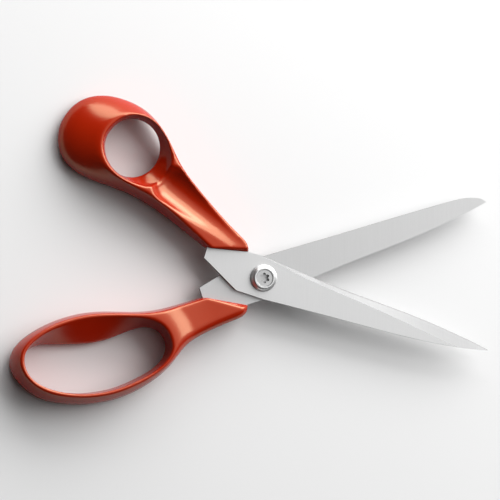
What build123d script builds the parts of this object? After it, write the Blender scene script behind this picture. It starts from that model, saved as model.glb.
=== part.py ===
from build123d import *

import os

# Fabric shears: two ground steel blades with moulded handles on an adjustable pivot.
#
# Frame: +Z up along the pivot axis, origin at the centre of the pivot nut's flat rear face, +X midway
# between the open blades towards their tips. The front half is the upper one in Z: it carries the thumb
# ring. The rear half carries the finger loop. Each half is drawn in its own axes, x along its blade.

os.makedirs("parts", exist_ok=True)

# ---- driving dimensions, millimetres and degrees ------------------------------------------------
rear_angle = 18.4  # direction of the rear blade at rest
front_angle = -17.4  # direction of the front blade at rest
blade_thickness = 2.5
blade_gap = 0.2  # between the two inner faces, held by the thrust washer

edge_land = 0.12  # steel left standing at the cutting edge
edge_facet_width = 0.45  # honed facet between the land and the long bevel
edge_facet_height = 0.75
bevel_overlap = 0.2  # how far the bevel's cutter starts inside its drawn line
tang_corner_radius = 3.0
anchor_radius = 2.2  # holes in the tangs that the handle plastic runs through

nut_head_radius = 6.5
nut_head_height = 1.9
nut_face_radius = 4.6  # flat in the middle of the domed head
nut_shoulder = (6.05, 0.55)  # radius and height of the middle of the dome
nut_dome_height = 1.3
key_radius = 5.0  # two-flat key that stops the nut turning in the rear blade
key_flats = 8.6
key_clearance = 0.02
barrel_radius = 4.2
barrel_top_lift = 0.5  # above the front blade
bore_floor = 1.2
screw_tip_gap = 0.4
screw_radius = 3
running_clearance = 0.05

washer_radius = 7.5
washer_thickness = 0.5
washer_proud = 0.18  # above the rear blade's inner face

collar_radius = 6.35
collar_height = 3.1
collar_skirt = 0.5  # straight part at the collar's foot
collar_face_radius = 4.75
collar_shoulder = (5.9, 1.4)  # radius and height above the skirt of the middle of the dome
collar_lift = 0.1  # under the collar, kept open by its spring
spring_thickness = 0.35
spring_inner_radius = 4.35
spring_outer_radius = 5.5
spring_pocket_radius = 5.7
spring_height = 0.8
counterbore_radius = 4.15
screw_head_radius = 4.08
screw_head_height = 1.1
screw_head_sink = 0.6  # below the collar's face
drive_outer_radius = 2.5
drive_inner_radius = 1.85
drive_lobe_radius = 0.7
drive_start_angle = 33
drive_depth = 2.8
screw_head_chamfer = 0.25

handle_half = 8.5  # the loops stand this far each side of the shear plane
profile_reach = 80  # the handles' side profile is cut this far each side of a blade's axis
rim_edge_least = 50  # the long edges round a handle are longer than this, its end edges shorter
thumb_hole_radius = 13.7
thumb_hole_centre = (-77.8, 39.6)
thumb_land = 4  # straight cylindrical part of the thumb hole
# The hole opens out either side of the land: height, centre and radius of each funnel's far end.
thumb_funnels = ((9, (-75, 38.8), 17.3), (-9, thumb_hole_centre, 17.5))
# The trough along the thumb handle's stem is a cone with a ball end, its axis above the plastic.
trough_start = (-56, 28, 12.8)
trough_end = (-8, 9.5, 13.4)
trough_start_radius = 10.3
trough_end_radius = 7.8

cut_over = 1  # how far cutting tools run past what they cut

# ---- levels along the pivot axis ----------------------------------------------------------------
rear_back = nut_head_height
rear_face = rear_back + blade_thickness
shear_level = rear_face + blade_gap / 2
front_face = rear_face + blade_gap
front_back = front_face + blade_thickness
barrel_top = front_back + barrel_top_lift
collar_foot = front_back + collar_lift
collar_top = collar_foot + collar_height
spring_top = front_back + spring_height
screw_head_top = collar_top - screw_head_sink
screw_head_foot = screw_head_top - screw_head_height

# ---- blade outlines, y towards the cutting edge -------------------------------------------------
# Stations along a blade: x, cutting edge y, inner line of the bevel y.
stations = (
    (-3, 9.85, 9.75),
    (19, 7.85, 6.1),
    (41, 6.35, 3.9),
    (61, 5.5, 1.9),
    (73, 4.9, 0.4),
    (84, 4.1, -1.2),
    (95, 2.9, -2.7),
    (104, 1.8, -3.6),
    (113.9, 0.2, -4.6),
)
cutting_edge = [(x, edge) for x, edge, bevel in reversed(stations)]
pointed_spine = [(3, -9.5), (24, -8.3), (45, -7.3), (65, -6.4), (85, -4.9), (100, -3.0), (113.9, -0.2)]
blunt_spine = [(3, -9.45), (24, -8.5), (45, -7.6), (66, -6.9), (87, -6), (101, -5.2), (108, -4), (112, -2.2)]
blunt_tip = (113.9, -0.1)
front_tang = [
    (-10.4, 9.5), (-15, 12), (-24, 16.2), (-35.5, 22.7), (-37.5, 17.5), (-35, 12.5), (-30, 9), (-30, 0.65),
]  # fmt: skip
front_tang_corner = (-10.8, -9.38)
front_anchors = ((-23, 11.8), (-32.5, 16.6))
rear_tang = [
    (-10.6, 9.6), (-14, 10.8), (-22, 12), (-36, 13.2), (-48, 14.5), (-50, 8), (-46, 3.5),
    (-30, 3), (-30, -5.2),
]  # fmt: skip
rear_tang_corner = (-10.6, -9.38)
rear_anchors = ((-28, 7.6), (-40, 8.4))

# ---- handle outlines, each from its tang end round the loop and back ----------------------------
# The outline is the widest one; the ridge is the line the loop's front rim stands on.
thumb_outline = [
    (-10.4, 9.6), (-12.4, 13), (-16.1, 15.5), (-28, 22.3), (-40.9, 30.3), (-54.6, 40.5), (-66.2, 52.4),
    (-76, 58.6), (-87.1, 60.6), (-97.3, 59.4), (-106.2, 54.6), (-111.8, 45.7), (-112.3, 34.5),
    (-106.3, 24.9), (-95.5, 20.4), (-79.4, 19.4), (-63, 17.2), (-45.5, 11.4), (-30, 5.4),
]  # fmt: skip
thumb_ridge = [
    (-11, 9.9), (-12.8, 12.8), (-16.3, 15), (-28.4, 21.2), (-41.3, 29), (-55.2, 39), (-66.3, 50.2),
    (-75.5, 54.8), (-84, 54.1), (-89.6, 51.4), (-93, 47.3), (-94.8, 42.3), (-94.6, 36.3),
    (-92.5, 31), (-87, 26.6), (-77, 23), (-62, 20), (-44.8, 13.6), (-29.5, 6.4),
]  # fmt: skip
finger_outline = [
    (-10.9, -9.9), (-11.6, -11.4), (-12.8, -13), (-14.7, -14.1), (-19.8, -14.7), (-25.3, -15),
    (-35.8, -16.2), (-45.2, -18.9), (-53.4, -24.4), (-62.2, -28.6),
    (-73.7, -31.4), (-84.4, -32), (-95, -30.6), (-108.8, -26), (-117.6, -20.8),
    (-124.8, -11.5), (-127, -2), (-124.1, 4.9), (-117.5, 9.1), (-106.8, 11.7), (-96, 12.3), (-85.8, 11.3),
    (-76.1, 8.8), (-61.9, 3.9), (-52.1, 1.7), (-41.9, 0.9), (-30, 0.4),
]  # fmt: skip
finger_ridge = [
    (-11.6, -9.7), (-12.3, -11.1), (-13.5, -12.5), (-15.2, -13.3), (-20, -13.9), (-25.5, -14.2),
    (-36.2, -15), (-46.2, -17.4), (-54.5, -22), (-62.8, -25.4),
    (-73.5, -27.6), (-84, -28.2), (-94, -27), (-107, -22.8), (-116, -17.6),
    (-122.4, -9.5), (-124, -2), (-121.6, 4), (-115.8, 8), (-106.3, 10.7), (-96, 11.3), (-86, 10.3),
    (-76.3, 7.8), (-62.2, 3), (-52.3, 0.8), (-42, 0), (-29.8, -0.4),
]  # fmt: skip
finger_hole_throat = [
    (-121.6, -2), (-118.6, 1.9), (-113.5, 3.5), (-105, 1.6), (-96, -1.4), (-87, -3.8), (-77, -4.6),
    (-65, -4.1), (-60.2, -4.8), (-55.6, -7.5), (-53.4, -13.2), (-54.8, -18.2), (-60.6, -22.9), (-72, -25.7),
    (-83, -26.5), (-93, -25.4), (-106.5, -21.2), (-115, -16.3), (-120.5, -10.3),
]  # fmt: skip
finger_hole_mouth = [
    (-122.2, -2.2), (-120, 3.2), (-114.8, 6.8), (-106, 9.4), (-96, 10.1), (-86, 9.2), (-76.5, 6.8),
    (-64, 2.2), (-57.3, -1.8), (-53.4, -6.5), (-52.2, -13), (-53.6, -18.4), (-59.6, -23.2), (-72, -26.3),
    (-84, -27), (-94, -25.8), (-106.6, -21.4), (-115, -16.2), (-120.8, -9.5),
]  # fmt: skip
throat_height = -5  # the finger hole is narrowest here, from the shear plane
# Sections of a handle: height from the shear plane, and how far the outline has gone to the ridge.
handle_sections = ((-handle_half, 0), (-3, 0), (3, 0.2), (6.8, 0.5), (handle_half, 1))
# Side profile: x, half thickness. Slim at the tang, full depth at the loops.
side_profile = [(-5, 5.6), (-25, 5.8), (-45, 6.8), (-62, 8.2), (-76, 8.6), (-134, 8.6)]
rear_edge_radius = 2.4

rear_plane = Plane.XY.rotated((0, 0, rear_angle))
front_plane = Plane.XY.rotated((0, 0, front_angle))
rear_shear_plane = rear_plane.offset(shear_level)
front_shear_plane = front_plane.offset(shear_level)
# The blades' own planes lie on their inner faces with z into the steel and y to the cutting edge.
front_blade_plane = front_plane.offset(front_face)
rear_blade_plane = Plane(
    origin=(0, 0, rear_face),
    x_dir=rear_plane.x_dir,
    z_dir=(0, 0, -1),
)


def save(piece, label):
    piece.label = label
    export_step(piece, f"parts/{label}.step")


# ---- blades -------------------------------------------------------------------------------------
def bevel_cutter(plane):
    """Everything the grinding wheel takes off: long bevel plus the honed facet at the edge."""
    with BuildPart() as cutter:
        for x, edge, bevel in stations:
            section = Plane(origin=plane.from_local_coords((x, 0, 0)), x_dir=plane.y_dir, z_dir=plane.x_dir)
            bevel_start = bevel - bevel_overlap
            with BuildSketch(section):
                with BuildLine():
                    Polyline(
                        (bevel_start, blade_thickness),
                        (edge - edge_facet_width, edge_facet_height),
                        (edge, edge_land),
                        (edge + 2 * cut_over, edge_land),
                        (edge + 2 * cut_over, blade_thickness + cut_over),
                        (bevel_start, blade_thickness + cut_over),
                        close=True,
                    )
                make_face()
        loft(ruled=True)
    return cutter.part


def blade(plane, spine, tip, tang, tang_corner, anchors):
    """Blade and tang in one plate: outline, rounded tang corner, anchor holes, ground bevel."""
    cutter = bevel_cutter(plane)
    with BuildPart() as plate:
        with BuildSketch(plane) as outline:
            with BuildLine():
                Spline(*cutting_edge)
                Polyline(cutting_edge[-1], *tang, tang_corner, spine[0])
                Spline(*spine)
                Polyline(spine[-1], *tip, cutting_edge[0])
            make_face()
            corner = outline.vertices().sort_by_distance(plane.from_local_coords((*tang_corner, 0)))[0]
            fillet(corner, tang_corner_radius)
        extrude(amount=blade_thickness)
        with BuildSketch(plane):
            with Locations(*anchors):
                Circle(anchor_radius)
        extrude(amount=blade_thickness, mode=Mode.SUBTRACT)
        add(cutter, mode=Mode.SUBTRACT)
    return plate.part


front_plate = blade(front_blade_plane, pointed_spine, (), front_tang, front_tang_corner, front_anchors)
with BuildPart() as front_blade:
    add(front_plate)
    with BuildSketch(front_blade_plane):
        Circle(barrel_radius + running_clearance)
    extrude(amount=blade_thickness, mode=Mode.SUBTRACT)

rear_plate = blade(rear_blade_plane, blunt_spine, (blunt_tip,), rear_tang, rear_tang_corner, rear_anchors)
with BuildPart() as rear_blade:
    add(rear_plate)
    with BuildSketch(rear_blade_plane):
        Circle(key_radius + key_clearance)
        Rectangle(2 * (key_radius + cut_over), key_flats + 2 * key_clearance, mode=Mode.INTERSECT)
    extrude(amount=blade_thickness, mode=Mode.SUBTRACT)
    with BuildSketch(rear_blade_plane):
        Circle(washer_radius + key_clearance)
    extrude(amount=washer_thickness - washer_proud, mode=Mode.SUBTRACT)

save(front_blade.part, "front_blade")
save(rear_blade.part, "rear_blade")


# ---- handles ------------------------------------------------------------------------------------
def side_band(plane):
    """Solid of a handle's side profile, mirrored about the shear plane and as wide as the shears."""
    side_plane = Plane(
        origin=plane.from_local_coords((0, -profile_reach, 0)),
        x_dir=plane.x_dir,
        z_dir=plane.y_dir,
    )
    near_x, far_x = side_profile[0][0], side_profile[-1][0]
    with BuildPart() as band:
        with BuildSketch(side_plane):
            with BuildLine():
                Spline(*side_profile)
                Polyline(side_profile[-1], (far_x, 0), (near_x, 0), side_profile[0])
            make_face()
            mirror(about=Plane(side_plane.origin, x_dir=side_plane.x_dir, z_dir=side_plane.y_dir))
        extrude(amount=2 * profile_reach)
    return band.part


def handle_blank(plane, outline, ridge):
    """Solid handle without its finger hole: domed from outline to ridge, slimmer towards the tang."""
    band = side_band(plane)
    with BuildPart() as blank:
        for height, share in handle_sections:
            points = [
                (x + share * (ridge_x - x), y + share * (ridge_y - y))
                for (x, y), (ridge_x, ridge_y) in zip(outline, ridge)
            ]
            with BuildSketch(plane.offset(height)):
                with BuildLine():
                    Spline(*points)
                    Line(points[-1], points[0])
                make_face()
        loft()
        rear_rim = [edge for edge in blank.faces().sort_by(Axis.Z)[0].edges() if edge.length > rim_edge_least]
        fillet(rear_rim, rear_edge_radius)
        add(band, mode=Mode.INTERSECT)
    return blank.part


def thumb_funnel(height, centre, radius):
    """Oblique cone from the end of the thumb hole's straight land to a wider level circle."""
    land_end = thumb_land / 2 if height > 0 else -thumb_land / 2
    with BuildPart() as funnel:
        with BuildSketch(front_shear_plane.offset(land_end)):
            with Locations(thumb_hole_centre):
                Circle(thumb_hole_radius)
        with BuildSketch(front_shear_plane.offset(height)):
            with Locations(centre):
                Circle(radius)
        loft()
    return funnel.part


with BuildPart() as trough:
    axis_start = Vector(*front_shear_plane.from_local_coords(trough_start))
    axis_end = Vector(*front_shear_plane.from_local_coords(trough_end))
    trough_plane = Plane(origin=axis_start, z_dir=axis_end - axis_start)
    with BuildSketch(trough_plane):
        Circle(trough_start_radius)
    with BuildSketch(trough_plane.offset((axis_end - axis_start).length)):
        Circle(trough_end_radius)
    loft()
    with Locations(axis_start):
        Sphere(trough_start_radius)

thumb_blank = handle_blank(front_shear_plane, thumb_outline, thumb_ridge)
funnels = [thumb_funnel(height, centre, radius) for height, centre, radius in thumb_funnels]
with BuildPart() as thumb_handle:
    add(thumb_blank)
    with BuildSketch(front_shear_plane.offset(-2 * handle_half)):
        with Locations(thumb_hole_centre):
            Circle(thumb_hole_radius)
    extrude(amount=4 * handle_half, mode=Mode.SUBTRACT)
    for cutter in (*funnels, trough.part, front_blade.part):
        add(cutter, mode=Mode.SUBTRACT)

with BuildPart() as finger_hole:
    for height, points in (
        (-handle_half - cut_over, finger_hole_throat),
        (throat_height, finger_hole_throat),
        (handle_half, finger_hole_mouth),
    ):
        with BuildSketch(rear_shear_plane.offset(height)):
            with BuildLine():
                Spline(*points, periodic=True)
            make_face()
    loft(ruled=True)

finger_blank = handle_blank(rear_shear_plane, finger_outline, finger_ridge)
with BuildPart() as finger_handle:
    add(finger_blank)
    for cutter in (finger_hole.part, rear_blade.part):
        add(cutter, mode=Mode.SUBTRACT)

save(thumb_handle.part, "thumb_handle")
save(finger_handle.part, "finger_handle")


# ---- pivot --------------------------------------------------------------------------------------
with BuildPart() as pivot_nut:
    with BuildSketch(Plane.XZ):
        with BuildLine():
            dome_foot = (nut_head_radius, nut_dome_height)
            Line((0, 0), (nut_face_radius, 0))
            ThreePointArc((nut_face_radius, 0), nut_shoulder, dome_foot)
            Polyline(dome_foot, (nut_head_radius, nut_head_height), (0, nut_head_height), (0, 0))
        make_face()
    revolve(axis=Axis.Z)
    with BuildSketch(rear_plane.offset(rear_back)):
        Circle(key_radius)
        Rectangle(2 * key_radius, key_flats, mode=Mode.INTERSECT)
    extrude(amount=blade_thickness - (washer_thickness - washer_proud))
    with BuildSketch(Plane.XY.offset(rear_back)):
        Circle(barrel_radius)
    extrude(amount=barrel_top - rear_back)
    with BuildSketch(Plane.XY.offset(bore_floor)):
        Circle(screw_radius + running_clearance)
    extrude(amount=barrel_top - bore_floor, mode=Mode.SUBTRACT)

with BuildPart() as thrust_washer:
    with BuildSketch(Plane.XY.offset(rear_face + washer_proud - washer_thickness)):
        Circle(washer_radius)
        Circle(barrel_radius + running_clearance, mode=Mode.SUBTRACT)
    extrude(amount=washer_thickness)

with BuildPart() as spring_washer:
    with BuildSketch(Plane.XZ):
        with BuildLine():
            Polyline(
                (spring_outer_radius, front_back),
                (spring_outer_radius, front_back + spring_thickness),
                (spring_inner_radius, spring_top),
                (spring_inner_radius, spring_top - spring_thickness),
                close=True,
            )
        make_face()
    revolve(axis=Axis.Z)

with BuildPart() as pivot_collar:
    with BuildSketch(Plane.XZ):
        with BuildLine():
            skirt_top = collar_foot + collar_skirt
            shoulder = (collar_shoulder[0], skirt_top + collar_shoulder[1])
            Polyline((0, collar_foot), (collar_radius, collar_foot), (collar_radius, skirt_top))
            ThreePointArc((collar_radius, skirt_top), shoulder, (collar_face_radius, collar_top))
            Polyline((collar_face_radius, collar_top), (0, collar_top), (0, collar_foot))
        make_face()
    revolve(axis=Axis.Z)
    with BuildSketch(Plane.XY.offset(screw_head_foot)):
        Circle(counterbore_radius)
    extrude(amount=collar_height, mode=Mode.SUBTRACT)
    with BuildSketch(Plane.XY.offset(collar_foot)):
        Circle(spring_pocket_radius)
    extrude(amount=spring_top - collar_foot, mode=Mode.SUBTRACT)
    with BuildSketch(Plane.XY.offset(collar_foot)):
        Circle(screw_radius + running_clearance)
    extrude(amount=collar_height, mode=Mode.SUBTRACT)

with BuildPart() as pivot_screw:
    screw_tip = bore_floor + screw_tip_gap
    with BuildSketch(Plane.XY.offset(screw_tip)):
        Circle(screw_radius)
    extrude(amount=screw_head_foot - screw_tip)
    with BuildSketch(Plane.XY.offset(screw_head_foot)):
        Circle(screw_head_radius)
    extrude(amount=screw_head_height)
    head_rim = pivot_screw.faces().sort_by(Axis.Z)[-1].edges()
    chamfer(head_rim, screw_head_chamfer)
    with BuildSketch(Plane.XY.offset(screw_head_top)):
        Circle(drive_inner_radius)
        with PolarLocations(drive_outer_radius - drive_lobe_radius, 6, start_angle=drive_start_angle):
            Circle(drive_lobe_radius)
    extrude(amount=-drive_depth, mode=Mode.SUBTRACT)

save(pivot_nut.part, "pivot_nut")
save(thrust_washer.part, "thrust_washer")
save(spring_washer.part, "spring_washer")
save(pivot_collar.part, "pivot_collar")
save(pivot_screw.part, "pivot_screw")
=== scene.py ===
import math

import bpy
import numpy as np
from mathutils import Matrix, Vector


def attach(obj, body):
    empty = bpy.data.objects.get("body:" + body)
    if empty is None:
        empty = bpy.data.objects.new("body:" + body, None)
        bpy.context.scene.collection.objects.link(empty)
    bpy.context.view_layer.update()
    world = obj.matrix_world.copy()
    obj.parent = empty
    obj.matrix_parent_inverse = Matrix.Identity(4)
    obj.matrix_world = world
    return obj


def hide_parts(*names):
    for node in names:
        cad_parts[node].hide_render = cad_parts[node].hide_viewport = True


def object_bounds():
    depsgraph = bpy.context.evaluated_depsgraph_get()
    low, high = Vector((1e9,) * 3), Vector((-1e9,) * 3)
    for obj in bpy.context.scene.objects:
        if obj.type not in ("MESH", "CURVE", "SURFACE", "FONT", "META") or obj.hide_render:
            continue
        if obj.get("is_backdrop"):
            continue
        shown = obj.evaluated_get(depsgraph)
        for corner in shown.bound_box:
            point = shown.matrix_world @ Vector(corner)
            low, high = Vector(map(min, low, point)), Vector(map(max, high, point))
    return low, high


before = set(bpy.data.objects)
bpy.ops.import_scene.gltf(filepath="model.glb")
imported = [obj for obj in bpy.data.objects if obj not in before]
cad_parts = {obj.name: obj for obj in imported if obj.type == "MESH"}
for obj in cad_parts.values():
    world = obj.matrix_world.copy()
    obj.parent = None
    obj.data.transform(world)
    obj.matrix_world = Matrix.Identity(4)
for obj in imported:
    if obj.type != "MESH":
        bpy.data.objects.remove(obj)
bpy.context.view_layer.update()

# Fabric shears lying open on a pale table, seen from above.
#
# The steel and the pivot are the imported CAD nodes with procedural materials. The two moulded handles are
# rebuilt here as smooth solids: each is a field that is negative inside the plastic, written from outline
# curves, rounded cuts and height rules, and meshed where it crosses zero. Each handle is drawn in its own
# half's axes, in millimetres: x along the half's blade, z up from the shear plane. Materials, lights and
# the camera are in metres.

# ---- dimensions shared with the CAD, millimetres and degrees ------------------------------------
rear_angle = 18.4  # direction of the rear blade at rest
front_angle = -17.4  # direction of the front blade at rest
shear_level = 4.5  # height of the plane where the blades slide on each other
handle_half = 8.5  # the loops stand this far each side of the shear plane
tang_half = 5.7  # half thickness of a handle at its tang end
mm = 0.001

# ---- meshing, millimetres -----------------------------------------------------------------------
cell = 0.6  # size of the meshing grid's cells
path_spacing = 0.5  # between the points of a drawn curve
path_run_out = 8  # how far an outline is carried on past the tang end
least_length2 = 1e-9  # keeps a path's repeated point from dividing by zero
chunk = 8192  # points whose distance to a path is worked out at once
settle_rounds = 2
settle_step = 0.05
least_slope = 0.05
soften_factor = 0.5
soften_rounds = 4
thumb_box = ((-114, 2, -10), (-7, 63, 10))  # grids just larger than each handle
finger_box = ((-129, -34, -10), (-7, 14, 10))


# ---- curves and fields --------------------------------------------------------------------------
def spline(points, closed=False):
    """Points along the smooth cubic through the given ones, natural at its ends unless closed."""
    knots = np.array(points, float)
    if closed:
        knots = np.vstack([knots[-3:], knots, knots[:4]])
    gaps = np.linalg.norm(np.diff(knots, axis=0), axis=1)
    slopes = np.diff(knots, axis=0) / gaps[:, None]
    count = len(knots)
    matrix = np.eye(count)
    right = np.zeros((count, 2))
    for i in range(1, count - 1):
        matrix[i, i - 1 : i + 2] = gaps[i - 1], 2 * (gaps[i - 1] + gaps[i]), gaps[i]
        right[i] = 6 * (slopes[i] - slopes[i - 1])
    bends = np.linalg.solve(matrix, right)
    first, last = (3, count - 4) if closed else (0, count - 1)
    path = []
    for i in range(first, last):
        steps = max(2, int(gaps[i] / path_spacing))
        for t in np.arange(steps) / steps:
            a, b = 1 - t, t
            bow = ((a**3 - a) * bends[i] + (b**3 - b) * bends[i + 1]) * gaps[i] ** 2 / 6
            path.append(a * knots[i] + b * knots[i + 1] + bow)
    if not closed:
        path.append(knots[-1])
    return np.array(path)


def extended(path):
    """The path carried straight on past both of its ends, so that an end face can be cut later."""
    head = path[0] - path[3]
    tail = path[-1] - path[-4]
    head_tip = path[0] + path_run_out * head / np.linalg.norm(head)
    tail_tip = path[-1] + path_run_out * tail / np.linalg.norm(tail)
    return np.vstack([head_tip, path, tail_tip])


def leaned(path, lean):
    """The outline moved inwards on the side that faces along lean, by up to lean's length."""
    tangent = np.gradient(path, axis=0)
    normal = np.stack([tangent[:, 1], -tangent[:, 0]], axis=1)
    normal /= np.linalg.norm(normal, axis=1)[:, None]
    if area(path) < 0:
        normal = -normal
    facing = np.clip(normal @ lean / np.linalg.norm(lean), 0, 1) ** lean_fade
    return path - facing[:, None] * lean


def area(path):
    """Signed area of a closed path, positive when it runs anticlockwise."""
    after = np.roll(path, -1, axis=0)
    return 0.5 * np.sum(path[:, 0] * after[:, 1] - after[:, 0] * path[:, 1])


def distance(path, x, y):
    """Signed distance from points to a closed path, negative inside it."""
    shape = np.broadcast(x, y).shape
    px = np.broadcast_to(x, shape).ravel().astype(np.float32)
    py = np.broadcast_to(y, shape).ravel().astype(np.float32)
    start = path.astype(np.float32)
    along = np.roll(start, -1, axis=0) - start
    length2 = np.maximum((along**2).sum(1), least_length2)
    result = np.empty(len(px), np.float32)
    for low in range(0, len(px), chunk):
        dx = px[low : low + chunk, None] - start[:, 0]
        dy = py[low : low + chunk, None] - start[:, 1]
        t = np.clip((dx * along[:, 0] + dy * along[:, 1]) / length2, 0, 1)
        nearest = np.sqrt(((dx - t * along[:, 0]) ** 2 + (dy - t * along[:, 1]) ** 2).min(1))
        rising = (dy >= 0) & (dy < along[:, 1])
        falling = (dy < 0) & (dy >= along[:, 1])
        side = along[:, 0] * dy - along[:, 1] * dx
        turns = (rising & (side > 0)).sum(1) - (falling & (side < 0)).sum(1)
        result[low : low + chunk] = np.where(turns != 0, -nearest, nearest)
    return result.reshape(shape)


def round_join(a, b, radius):
    """Intersection of two fields with a rounded edge of that radius."""
    over = np.sqrt(np.maximum(a + radius, 0) ** 2 + np.maximum(b + radius, 0) ** 2)
    return np.minimum(-radius, np.maximum(a, b)) + over


def share_of(run, value):
    """How far a value has come along a run, from 0 to 1. A run is its start and its signed length."""
    start, length = run
    return np.clip((value - start) / length, 0, 1)


def ease(t):
    """Smooth step from 0 to 1."""
    t = np.clip(t, 0, 1)
    return t * t * (3 - 2 * t)


def dome(t):
    """Quarter circle: leaves 0 flat and reaches 1 upright."""
    return 1 - np.sqrt(1 - np.clip(t, 0, 1) ** 2)


def plane_through(a, b, c, inside):
    """Field of the half-space bounded by three points, negative on the side of the point inside."""
    a, b, c, inside = (np.array(p, float) for p in (a, b, c, inside))
    normal = np.cross(b - a, c - a)
    normal /= np.linalg.norm(normal)
    if np.dot(inside - a, normal) > 0:
        normal = -normal
    return lambda x, y, z: (x - a[0]) * normal[0] + (y - a[1]) * normal[1] + (z - a[2]) * normal[2]


def mesh_field(field, low, high):
    """Vertices and quads of the surface where field(x, y, z) crosses zero, inside a box."""
    axes = [np.arange(a, b + cell, cell) for a, b in zip(low, high)]
    values = field(axes[0][:, None, None], axes[1][None, :, None], axes[2][None, None, :])
    values = np.broadcast_to(values, [len(a) for a in axes])
    solid = values < 0
    total = np.zeros([len(a) - 1 for a in axes] + [3])
    hits = np.zeros(total.shape[:3])
    for axis in range(3):
        others = [a for a in range(3) if a != axis]
        near = [slice(None)] * 3
        far = [slice(None)] * 3
        near[axis], far[axis] = slice(None, -1), slice(1, None)
        v0, v1 = values[tuple(near)], values[tuple(far)]
        crossing = solid[tuple(near)] != solid[tuple(far)]
        with np.errstate(divide="ignore", invalid="ignore"):
            share = np.where(crossing, v0 / (v0 - v1), 0)
        for shift in ((0, 0), (0, 1), (1, 0), (1, 1)):
            window = [slice(None)] * 3
            for other, step in zip(others, shift):
                window[other] = slice(step, values.shape[other] - 1 + step)
            on = crossing[tuple(window)]
            hits += on
            total[..., axis] += np.where(on, share[tuple(window)], 0)
            for other, step in zip(others, shift):
                total[..., other] += on * step
    used = hits > 0
    index = np.full(hits.shape, -1)
    index[used] = np.arange(used.sum())
    origin = np.array([a[0] for a in axes])
    vertices = origin + cell * (np.argwhere(used) + total[used] / hits[used][:, None])
    quads = []
    for axis in range(3):
        u, v = (axis + 1) % 3, (axis + 2) % 3
        inner = [slice(1, -1)] * 3
        inner[axis] = slice(None)
        block = solid[tuple(inner)]
        first = np.take(block, range(block.shape[axis] - 1), axis)
        second = np.take(block, range(1, block.shape[axis]), axis)
        for entering in (False, True):
            spots = np.argwhere((first != second) & (second == entering))
            ring = ((0, 0), (-1, 0), (-1, -1), (0, -1))
            if entering:
                ring = ring[::-1]
            corners = []
            for du, dv in ring:
                spot = spots.copy()
                spot[:, u] += 1 + du
                spot[:, v] += 1 + dv
                corners.append(index[tuple(spot.T)])
            quads.append(np.stack(corners, axis=1))
    return settle(field, vertices), np.vstack(quads)


def settle(field, vertices):
    """Moves mesh vertices onto the surface itself along the field's slope."""
    slope = np.zeros_like(vertices)
    for axis in range(3):
        offset = np.zeros(3)
        offset[axis] = settle_step
        ahead = field(*(vertices + offset).T)
        behind = field(*(vertices - offset).T)
        slope[:, axis] = (ahead - behind) / (2 * settle_step)
    size = np.maximum((slope**2).sum(1), least_slope)
    for _ in range(settle_rounds):
        move = np.clip(field(*vertices.T) / size, -cell, cell)
        vertices = vertices - move[:, None] * slope
    return vertices


def place(name, vertices, quads, angle, body, node, slot):
    """Makes a mesh object from a half's own axes, on its CAD body and in place of its CAD node."""
    turn = math.radians(angle)
    x, y, z = vertices.T
    world = np.stack(
        [
            x * math.cos(turn) - y * math.sin(turn),
            x * math.sin(turn) + y * math.cos(turn),
            z + shear_level,
        ],
        axis=1,
    )
    mesh = bpy.data.meshes.new(name)
    mesh.from_pydata((world * mm).tolist(), [], quads.tolist())
    mesh.validate()
    mesh.shade_smooth()
    piece = bpy.data.objects.new(name, mesh)
    bpy.context.scene.collection.objects.link(piece)
    soften = piece.modifiers.new("soften", "SMOOTH")
    soften.factor = soften_factor
    soften.iterations = soften_rounds
    bpy.context.view_layer.objects.active = piece
    with bpy.context.temp_override(object=piece, active_object=piece):
        bpy.ops.object.modifier_apply(modifier="soften")
    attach(piece, body)
    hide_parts(node)
    return piece


# ---- handle shapes ------------------------------------------------------------------------------
# A run is where a change starts and its signed length. It is in height, unless it says otherwise.
stem_run = (-28, -42)  # along x, from the tang end's thickness to the loop's
lean_run = (-5, 13.5)  # the walls lean in towards the front ridge
tuck_run = (-2, -7)  # the walls curve in underneath
lean_fade = 1.5  # how fast the tuck underneath fades along walls that turn away from its direction
rear_edge_radius = 2.4
hole_edge_radius = 0.9
end_edge_radius = 0.25
end_bevel_low = 3.2  # height of the end bevel at the outline's start
end_bevel_high = 5.5  # height of the end bevel at the outline's end


def stem_half(x):
    """Half thickness of a handle along x: slim at the tang, full depth at the loops."""
    return tang_half + (handle_half - tang_half) * ease(share_of(stem_run, x))


def wall(path, ridge, rear_path, x, y, z, swell):
    """Side wall: leans from the outline to the front ridge above, and to the rear path below."""
    outline = distance(path, x, y)
    lean_front = share_of(lean_run, z) ** swell * (distance(ridge, x, y) - outline)
    lean_rear = dome(share_of(tuck_run, z)) * (distance(rear_path, x, y) - outline)
    return outline + lean_front + lean_rear


def end_cuts(outline, bevel_point, inside):
    """A handle's flat tang end, across its outline's two ends, and the bevel on that end's front edge."""
    start, end = outline[0], outline[-1]
    face = plane_through((*end, 0), (*start, 0), (*start, handle_half), inside)
    bevel = plane_through((*end, end_bevel_high), bevel_point, (*start, end_bevel_low), inside)
    return face, bevel


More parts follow.
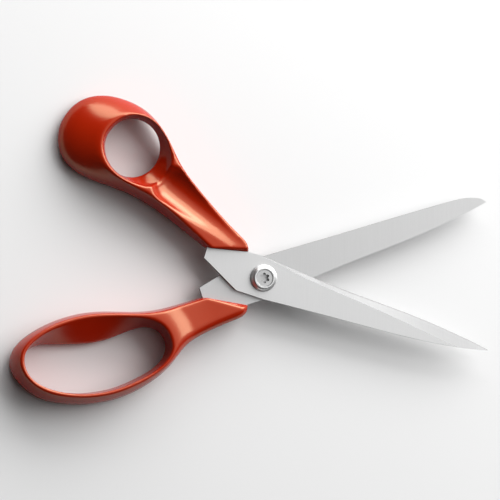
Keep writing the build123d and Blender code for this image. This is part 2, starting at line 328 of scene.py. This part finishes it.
# ---- thumb handle -------------------------------------------------------------------------------
# The outline is the widest one; the ridge is the line the loop's front rim stands on.
thumb_outline = [
    (-10.4, 9.6), (-12.4, 13), (-16.1, 15.5), (-28, 22.3), (-40.9, 30.3), (-54.6, 40.5), (-66.2, 52.4),
    (-76, 58.6), (-87.1, 60.6), (-97.3, 59.4), (-106.2, 54.6), (-111.8, 45.7), (-112.3, 34.5),
    (-106.3, 24.9), (-95.5, 20.4), (-79.4, 19.4), (-63, 17.2), (-45.5, 11.4), (-30, 5.4),
]  # fmt: skip
thumb_ridge = [
    (-11, 9.9), (-12.8, 12.8), (-16.3, 15), (-28.4, 21.2), (-41.3, 29), (-55.2, 39), (-66.3, 50.2),
    (-75.5, 54.8), (-84, 54.1), (-89.6, 51.4), (-93, 47.3), (-94.8, 42.3), (-94.6, 36.3), (-92.5, 31),
    (-87, 26.6), (-77, 23), (-62, 20), (-44.8, 13.6), (-29.5, 6.4),
]  # fmt: skip
# The thumb hole opens towards the front: first a rest for the thumb on the stem's side, then all round.
thumb_rest = [
    (-91.7, 39.5), (-89.8, 46.2), (-84.8, 51.8), (-77.9, 54), (-71, 52.4), (-65.8, 48.2), (-62.4, 42.5),
    (-60.2, 36), (-60.6, 30), (-65.6, 25.3), (-73.8, 24.6), (-82.2, 26.4), (-88.8, 31.6),
]  # fmt: skip
thumb_mouth = [
    (-93.8, 39.5), (-91.7, 47), (-86, 53.1), (-78, 55.4), (-71, 53.8), (-65.6, 49.8), (-61.2, 43.8),
    (-58.6, 36.5), (-59.8, 29.6), (-65.5, 24.6), (-74, 23.7), (-83, 25.5), (-90.3, 31),
]  # fmt: skip
thumb_tuck = np.array((4.0, 2.4))  # how far the rear edge tucks in, and on which side
thumb_path = extended(spline(thumb_outline))
thumb_ridge_path = extended(spline(thumb_ridge))
thumb_rear_path = leaned(thumb_path, thumb_tuck)
thumb_rest_path = spline(thumb_rest, closed=True)
thumb_mouth_path = spline(thumb_mouth, closed=True)
thumb_ends = end_cuts(thumb_outline, (-11, 11.4, 5.2), (-30, 20, 0))
thumb_hole_centre = (-77.8, 39.6)
thumb_hole_radius = 13.7
thumb_swell = 1.7  # above 1, the wall leans in late
thumb_edge_radius = 1.2
rest_run = (-1, 4.5)  # the bore opens to the rest
mouth_run = (3.5, 5)  # and then to the mouth
flare_run = (-2.5, -6.5)
thumb_flare = 3.8  # how far the thumb hole widens all round at the rear
thumb_bore_slope = 0.85  # keeps the field even where the bore slants
trough_start = np.array((-56, 28, 12.8))
trough_end = np.array((-8, 9.5, 13.4))
trough_start_radius = 10.3
trough_end_radius = 7.8
trough_edge_radius = 1.0


def thumb_bore(x, y, z):
    """The thumb hole: a straight throat that opens to rest and mouth above, and flares below."""
    throat = np.hypot(x - thumb_hole_centre[0], y - thumb_hole_centre[1]) - thumb_hole_radius
    rest = distance(thumb_rest_path, x, y)
    mouth = distance(thumb_mouth_path, x, y)
    front = throat + share_of(rest_run, z) * (rest - throat) + share_of(mouth_run, z) * (mouth - rest)
    rear = throat - thumb_flare * ease(share_of(flare_run, z))
    return np.minimum(front, rear)


def trough(x, y, z):
    """Cone lying above the thumb handle's stem, with a ball for its end over the hole."""
    length = np.linalg.norm(trough_end - trough_start)
    ux, uy, uz = (trough_end - trough_start) / length
    dx, dy, dz = x - trough_start[0], y - trough_start[1], z - trough_start[2]
    forward = dx * ux + dy * uy + dz * uz
    across = dx * -uy + dy * ux
    over = dz - uz * forward
    share = np.maximum(forward, 0) / length
    radius = trough_start_radius + share * (trough_end_radius - trough_start_radius)
    return np.sqrt(across**2 + over**2 + np.minimum(forward, 0) ** 2) - radius


def thumb_field(x, y, z):
    """Thumb handle: domed ring leaning over its hole, with a trough along the stem."""
    half = stem_half(x)
    side = wall(thumb_path, thumb_ridge_path, thumb_rear_path, x, y, z, thumb_swell)
    body = round_join(side, z - half, thumb_edge_radius)
    body = round_join(body, -z - half, rear_edge_radius)
    body = round_join(body, -thumb_bore(x, y, z) * thumb_bore_slope, hole_edge_radius)
    body = round_join(body, -trough(x, y, z), trough_edge_radius)
    for cut in thumb_ends:
        body = round_join(body, cut(x, y, z), end_edge_radius)
    return body


# ---- finger handle ------------------------------------------------------------------------------
finger_outline = [
    (-10.9, -9.9), (-11.6, -11.4), (-12.8, -13), (-14.7, -14.1), (-19.8, -14.7), (-25.3, -15),
    (-35.8, -16.2), (-45.2, -18.9), (-53.4, -24.4), (-62.2, -28.6), (-73.7, -31.4), (-84.4, -32),
    (-95, -30.6), (-108.8, -26), (-117.6, -20.8), (-124.8, -11.5), (-127, -2), (-124.1, 4.9),
    (-117.5, 9.1), (-106.8, 11.7), (-96, 12.3), (-85.8, 11.3), (-76.1, 8.8), (-61.9, 3.9), (-52.1, 1.7),
    (-41.9, 0.9), (-30, 0.4),
]  # fmt: skip
finger_ridge = [
    (-11.6, -9.7), (-12.3, -11.1), (-13.5, -12.5), (-15.2, -13.3), (-20, -13.9), (-25.5, -14.2),
    (-36.2, -15), (-46.2, -17.4), (-54.5, -22), (-62.8, -25.4), (-73.5, -27.6), (-84, -28.2), (-94, -27),
    (-107, -22.8), (-116, -17.6), (-122.4, -9.5), (-124, -2), (-121.6, 4), (-115.8, 8), (-106.3, 10.7),
    (-96, 11.3), (-86, 10.3), (-76.3, 7.8), (-62.2, 3), (-52.3, 0.8), (-42, 0), (-29.8, -0.4),
]  # fmt: skip
# The finger hole widens steadily from the throat at the rear to the mouth at the front.
finger_throat = [
    (-121.6, -2), (-118.6, 1.9), (-113.5, 3.5), (-105, 1.6), (-96, -1.4), (-87, -3.8), (-77, -4.6),
    (-65, -4.1), (-60.2, -4.8), (-55.6, -7.5), (-53.4, -13.2), (-54.8, -18.2), (-60.6, -22.9),
    (-72, -25.7), (-83, -26.5), (-93, -25.4), (-106.5, -21.2), (-115, -16.3), (-120.5, -10.3),
]  # fmt: skip
finger_mouth = [
    (-122.2, -2.2), (-120, 3.2), (-114.8, 6.8), (-106, 9.4), (-96, 10.1), (-86, 9.2), (-76.5, 6.8),
    (-64, 2.2), (-57.3, -1.8), (-53.4, -6.5), (-52.2, -13), (-53.6, -18.4), (-59.6, -23.2), (-72, -26.3),
    (-84, -27), (-94, -25.8), (-106.6, -21.4), (-115, -16.2), (-120.8, -9.5),
]  # fmt: skip
finger_tuck = np.array((0.5, 5.5))
finger_path = extended(spline(finger_outline))
finger_ridge_path = extended(spline(finger_ridge))
finger_rear_path = leaned(finger_path, finger_tuck)
finger_throat_path = spline(finger_throat, closed=True)
finger_mouth_path = spline(finger_mouth, closed=True)
finger_ends = end_cuts(finger_outline, (-11.9, -11.5, 5.4), (-30, -10, 0))
finger_swell = 2.2
finger_edge_radius = 1.1
belly_radius = 3  # added to the front edge's radius under the stem
belly_run_x = (-60, 14)  # along x
belly_run_y = (-5, -6)  # along y
rim_run = (1, 12)  # along the distance from the hole's mouth, from the rim's height to the stem's
finger_flare_run = (-4, -4.5)
finger_flare = 1.8
finger_bore_slope = 0.8


def finger_field(x, y, z):
    """Finger handle: long leaning loop with a broad slanted bearing surface, and a flat stem."""
    mouth = distance(finger_mouth_path, x, y)
    throat = distance(finger_throat_path, x, y)
    half = stem_half(x)
    top = half + (handle_half - half) * (1 - ease(share_of(rim_run, mouth)))
    side = wall(finger_path, finger_ridge_path, finger_rear_path, x, y, z, finger_swell)
    belly = ease(share_of(belly_run_x, x)) * ease(share_of(belly_run_y, y))
    body = round_join(side, z - top, finger_edge_radius + belly_radius * belly)
    body = round_join(body, -z - half, rear_edge_radius)
    bore = throat + share_of(lean_run, z) * (mouth - throat)
    bore = bore - finger_flare * share_of(finger_flare_run, z)
    body = round_join(body, -bore * finger_bore_slope, hole_edge_radius)
    for cut in finger_ends:
        body = round_join(body, cut(x, y, z), end_edge_radius)
    return body


thumb_handle = place(
    "thumb_grip",
    *mesh_field(thumb_field, *thumb_box),
    front_angle,
    "front_half",
    "thumb_handle",
    "handle_plastic",
)
finger_handle = place(
    "finger_grip",
    *mesh_field(finger_field, *finger_box),
    rear_angle,
    "rear_half",
    "finger_handle",
    "handle_plastic",
)


# ---- materials ----------------------------------------------------------------------------------
grain_detail = 5


def material(name, color, metallic, roughness):
    """A principled material, with its node tree and its shader."""
    made = bpy.data.materials.new(name)
    made.use_nodes = True
    shader = made.node_tree.nodes["Principled BSDF"]
    shader.inputs["Base Color"].default_value = (*color, 1)
    shader.inputs["Metallic"].default_value = metallic
    shader.inputs["Roughness"].default_value = roughness
    return made, made.node_tree, shader


def grey(light):
    """Neutral colour of a given brightness."""
    return (light, light, light)


def grain(tree, scale, stretch=(1, 1, 1), turn=0):
    """Noise in object space, stretched along one axis and turned about the pivot axis."""
    coordinates = tree.nodes.new("ShaderNodeTexCoord")
    mapping = tree.nodes.new("ShaderNodeMapping")
    mapping.inputs["Rotation"].default_value[2] = math.radians(turn)
    mapping.inputs["Scale"].default_value = stretch
    noise = tree.nodes.new("ShaderNodeTexNoise")
    noise.inputs["Scale"].default_value = scale
    noise.inputs["Detail"].default_value = grain_detail
    tree.links.new(coordinates.outputs["Object"], mapping.inputs["Vector"])
    tree.links.new(mapping.outputs["Vector"], noise.inputs["Vector"])
    return noise.outputs["Fac"]


def ramp(tree, source, low, high):
    """Colour that runs from one to another with a noise."""
    node = tree.nodes.new("ShaderNodeValToRGB")
    node.color_ramp.elements[0].color = (*low, 1)
    node.color_ramp.elements[1].color = (*high, 1)
    tree.links.new(source, node.inputs["Fac"])
    return node.outputs["Color"]


def remap(tree, source, span, result):
    """Number that runs over the result's two values while the source runs over the span's two."""
    node = tree.nodes.new("ShaderNodeMapRange")
    node.inputs["From Min"].default_value = span[0]
    node.inputs["From Max"].default_value = span[1]
    node.inputs["To Min"].default_value = result[0]
    node.inputs["To Max"].default_value = result[1]
    tree.links.new(source, node.inputs["Value"])
    return node.outputs["Result"]


def bump(tree, source, shader, depth, strength):
    """Fine relief on a shader, from a noise."""
    node = tree.nodes.new("ShaderNodeBump")
    node.inputs["Distance"].default_value = depth
    node.inputs["Strength"].default_value = strength
    tree.links.new(source, node.inputs["Height"])
    tree.links.new(node.outputs["Normal"], shader.inputs["Normal"])


def flatness(tree):
    """How squarely a face looks along the pivot axis, either way: 1 on flat faces, 0 on upright walls."""
    facing = tree.nodes.new("ShaderNodeTexCoord")
    split = tree.nodes.new("ShaderNodeSeparateXYZ")
    either_way = tree.nodes.new("ShaderNodeMath")
    either_way.operation = "ABSOLUTE"
    tree.links.new(facing.outputs["Normal"], split.inputs["Vector"])
    tree.links.new(split.outputs["Z"], either_way.inputs[0])
    return either_way.outputs["Value"]


def plastic_material():
    """Glossy orange-red plastic. Steep walls, which face only the pale table, get their specular strength
    cut by their own direction: painted shade.
    """
    made, tree, shader = material("handle_plastic", (0.34, 0.01, 0), metallic=0, roughness=0.22)
    shader.inputs["Specular IOR Level"].default_value = 0.8
    shader.inputs["Specular Tint"].default_value = (1, 0.8, 0.5, 1)
    # Painted shade: steep walls get a weaker specular strength than flat faces, by their direction.
    wall_shaded_sheen = remap(tree, flatness(tree), span=(0.35, 0.75), result=(0.2, 1.05))
    tree.links.new(wall_shaded_sheen, shader.inputs["Specular IOR Level"])
    tone = ramp(tree, grain(tree, scale=60), (0.31, 0.008, 0), (0.37, 0.013, 0))
    tree.links.new(tone, shader.inputs["Base Color"])
    bump(tree, grain(tree, scale=900), shader, depth=0.00002, strength=0.25)
    return made


def steel_material(name, turn, light):
    """Ground steel with a fine grain across the blade. The slanted grinding is rougher, and its colour is
    made about half as bright by its direction: painted shade against the bright light it reflects.
    """
    made, tree, shader = material(name, grey(light), metallic=1, roughness=0.38)
    flat_span = (0.95, 0.99)
    flat_share = flatness(tree)
    rough = remap(tree, flat_share, flat_span, result=(0.7, 0.38))
    # Share of the unshaded flat colour: 0 on the slanted grinding, which gets painted shade.
    unshaded_share = remap(tree, flat_share, flat_span, result=(0, 1))
    lines = grain(tree, scale=300, stretch=(8, 0.25, 1), turn=-turn)
    flat = ramp(tree, lines, grey(light * 0.93), grey(light))
    # Painted shade: the slanted grinding's colour, about half as bright as the flat faces'.
    shaded_ground = ramp(tree, lines, grey(light * 0.43), grey(light * 0.49))
    mix = tree.nodes.new("ShaderNodeMix")
    mix.data_type = "RGBA"
    tree.links.new(rough, shader.inputs["Roughness"])
    tree.links.new(unshaded_share, mix.inputs["Factor"])
    tree.links.new(shaded_ground, mix.inputs["A"])
    tree.links.new(flat, mix.inputs["B"])
    tree.links.new(mix.outputs["Result"], shader.inputs["Base Color"])
    bump(tree, lines, shader, depth=0.00001, strength=0.2)
    return made


def turned_material(name, light, rough):
    """Turned metal with a slightly uneven tone."""
    made, tree, shader = material(name, grey(light), metallic=1, roughness=rough)
    tone = ramp(tree, grain(tree, scale=500, stretch=(1, 1, 3)), grey(light * 0.9), grey(light))
    tree.links.new(tone, shader.inputs["Base Color"])
    return made


def washer_material():
    """Matte white plastic."""
    made, tree, shader = material("washer_plastic", (0.85, 0.85, 0.82), metallic=0, roughness=0.55)
    bump(tree, grain(tree, scale=300), shader, depth=0.00002, strength=0.3)
    return made


def wear(node, made):
    """Puts a material on every slot of a CAD node."""
    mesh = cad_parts[node].data
    if not mesh.materials:
        mesh.materials.append(made)
    for i in range(len(mesh.materials)):
        mesh.materials[i] = made


plastic = plastic_material()
for piece in (thumb_handle, finger_handle):
    piece.data.materials.append(plastic)
wear("thumb_handle", plastic)
wear("finger_handle", plastic)
wear("front_blade", steel_material("front_steel", front_angle, light=0.74))
wear("rear_blade", steel_material("rear_steel", rear_angle, light=0.64))
wear("pivot_collar", turned_material("collar_metal", light=0.75, rough=0.4))
wear("pivot_nut", turned_material("nut_metal", light=0.75, rough=0.22))
wear("pivot_screw", turned_material("screw_metal", light=0.72, rough=0.3))
wear("spring_washer", turned_material("spring_metal", light=0.55, rough=0.3))
wear("thrust_washer", washer_material())


# ---- table, light and camera, metres ------------------------------------------------------------
table_half = 3.0
table_gap = 0.0002  # under the lowest part of the shears
room_bright_side = (0.62, 0.4, 0.67)
room_span = (0.55, 0.9)  # cosines from the bright side, from dim to bright
room_light = (0.03, 1.0)
camera_lean = 12  # degrees from upright, towards the handles
camera_away = 6.0
camera_reach = 20
sensor_width = 36
view_width = 0.2353  # what the picture spans at the shear plane
view_left = 0.00577  # from the pivot to the picture's middle, to the left
view_up = 0.01318  # and upwards


def table():
    """Plain pale table under the shears."""
    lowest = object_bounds()[0][2]
    mesh = bpy.data.meshes.new("table")
    corners = [(-table_half, -table_half), (table_half, -table_half)]
    corners += [(table_half, table_half), (-table_half, table_half)]
    mesh.from_pydata([(x, y, lowest - table_gap) for x, y in corners], [], [(0, 1, 2, 3)])
    top = bpy.data.objects.new("table", mesh)
    bpy.context.scene.collection.objects.link(top)
    made, tree, shader = material("table_paper", grey(0.7), metallic=0, roughness=0.9)
    shader.inputs["Specular IOR Level"].default_value = 0.1
    mesh.materials.append(made)
    top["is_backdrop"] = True


def softbox(name, position, width, height, power):
    """Rectangular area light aimed at the pivot."""
    data = bpy.data.lights.new(name, "AREA")
    data.shape = "RECTANGLE"
    data.size = width
    data.size_y = height
    data.energy = power
    lamp = bpy.data.objects.new(name, data)
    lamp.location = position
    lamp.rotation_euler = (-Vector(position)).to_track_quat("-Z", "Y").to_euler()
    bpy.context.scene.collection.objects.link(lamp)


def world_light():
    """Room light: brightest above the far side of the table, dim behind the handles."""
    world = bpy.data.worlds.new("room")
    world.use_nodes = True
    tree = world.node_tree
    background = tree.nodes["Background"]
    background.inputs["Color"].default_value = (1, 1, 1, 1)
    direction = tree.nodes.new("ShaderNodeTexCoord")
    facing = tree.nodes.new("ShaderNodeVectorMath")
    facing.operation = "DOT_PRODUCT"
    facing.inputs[1].default_value = room_bright_side
    tree.links.new(direction.outputs["Generated"], facing.inputs[0])
    strength = remap(tree, facing.outputs["Value"], room_span, room_light)
    tree.links.new(strength, background.inputs["Strength"])
    bpy.context.scene.world = world


def camera():
    """Long lens looking down, leaning towards the handles, +Y up in the picture."""
    lean = math.radians(camera_lean)
    right = Vector((math.cos(lean), 0, math.sin(lean)))
    up = Vector((0, 1, 0))
    towards = Vector((-math.sin(lean), 0, math.cos(lean)))
    middle = Vector((0, 0, shear_level * mm)) - right * view_left + up * view_up
    data = bpy.data.cameras.new("camera")
    data.sensor_width = sensor_width
    data.lens = sensor_width * camera_away / view_width
    data.clip_end = camera_reach
    lens = bpy.data.objects.new("camera", data)
    turn = Matrix((right, up, towards)).transposed()
    lens.matrix_world = Matrix.Translation(middle + towards * camera_away) @ turn.to_4x4()
    bpy.context.scene.collection.objects.link(lens)
    bpy.context.scene.camera = lens


bpy.context.scene.view_settings.view_transform = "Standard"
table()
world_light()
softbox("key_box", position=(0.8, 0.67, 0.8), width=1.4, height=1.1, power=21)
softbox("far_box", position=(0.3, 1.1, 0.45), width=1.8, height=0.8, power=21)
camera()
